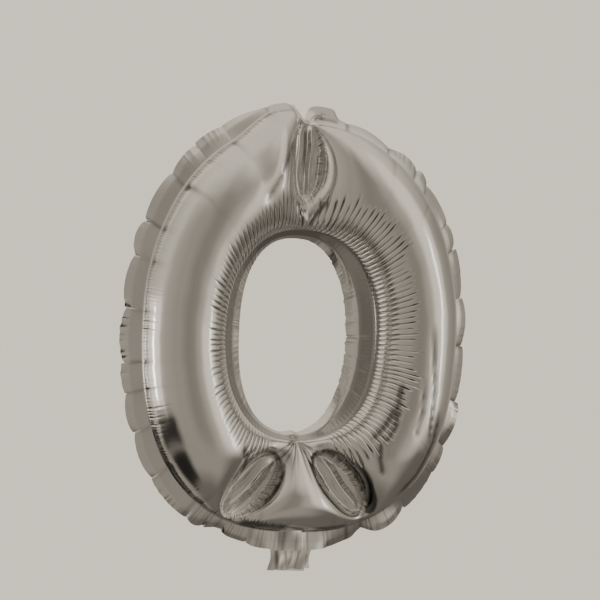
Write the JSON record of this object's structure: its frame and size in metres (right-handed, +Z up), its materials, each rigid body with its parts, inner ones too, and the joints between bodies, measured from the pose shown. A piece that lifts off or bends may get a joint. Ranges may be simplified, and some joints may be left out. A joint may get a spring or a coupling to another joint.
{
  "type": "foil number balloon",
  "caption": "Inflated silver foil balloon in the shape of the numeral zero, with a sealed rim, a central hole, leaf-shaped weld islands and a filling tail with a flat valve.",
  "frame": {"origin": "Middle of the tail mouth, at the lowest point of the balloon.", "axes": "+Z up from the tail to the top of the numeral, +X to the right seen from the front, the front faces -Y."},
  "size_m": [0.274, 0.0724, 0.337],
  "materials": {
    "silver_foil": "bright metallised film, slightly soft reflections",
    "valve_film": "clear, slightly milky film"
  },
  "bodies": {
    "balloon": {"front_panel": "silver_foil", "back_panel": "silver_foil", "front_collar": "silver_foil", "back_collar": "silver_foil", "valve_front_ply": "valve_film", "valve_back_ply": "valve_film"},
    "tail": {"front_tail": "silver_foil", "back_tail": "silver_foil", "valve_front_mouth": "valve_film", "valve_back_mouth": "valve_film"}
  },
  "joints": [
    {"name": "tail_fold", "type": "hinge", "parent": "balloon", "child": "tail", "pos_m": [0, 0, 0.01421], "axis": [1, 0, 0], "range_deg": [-120, 120]}
  ]
}
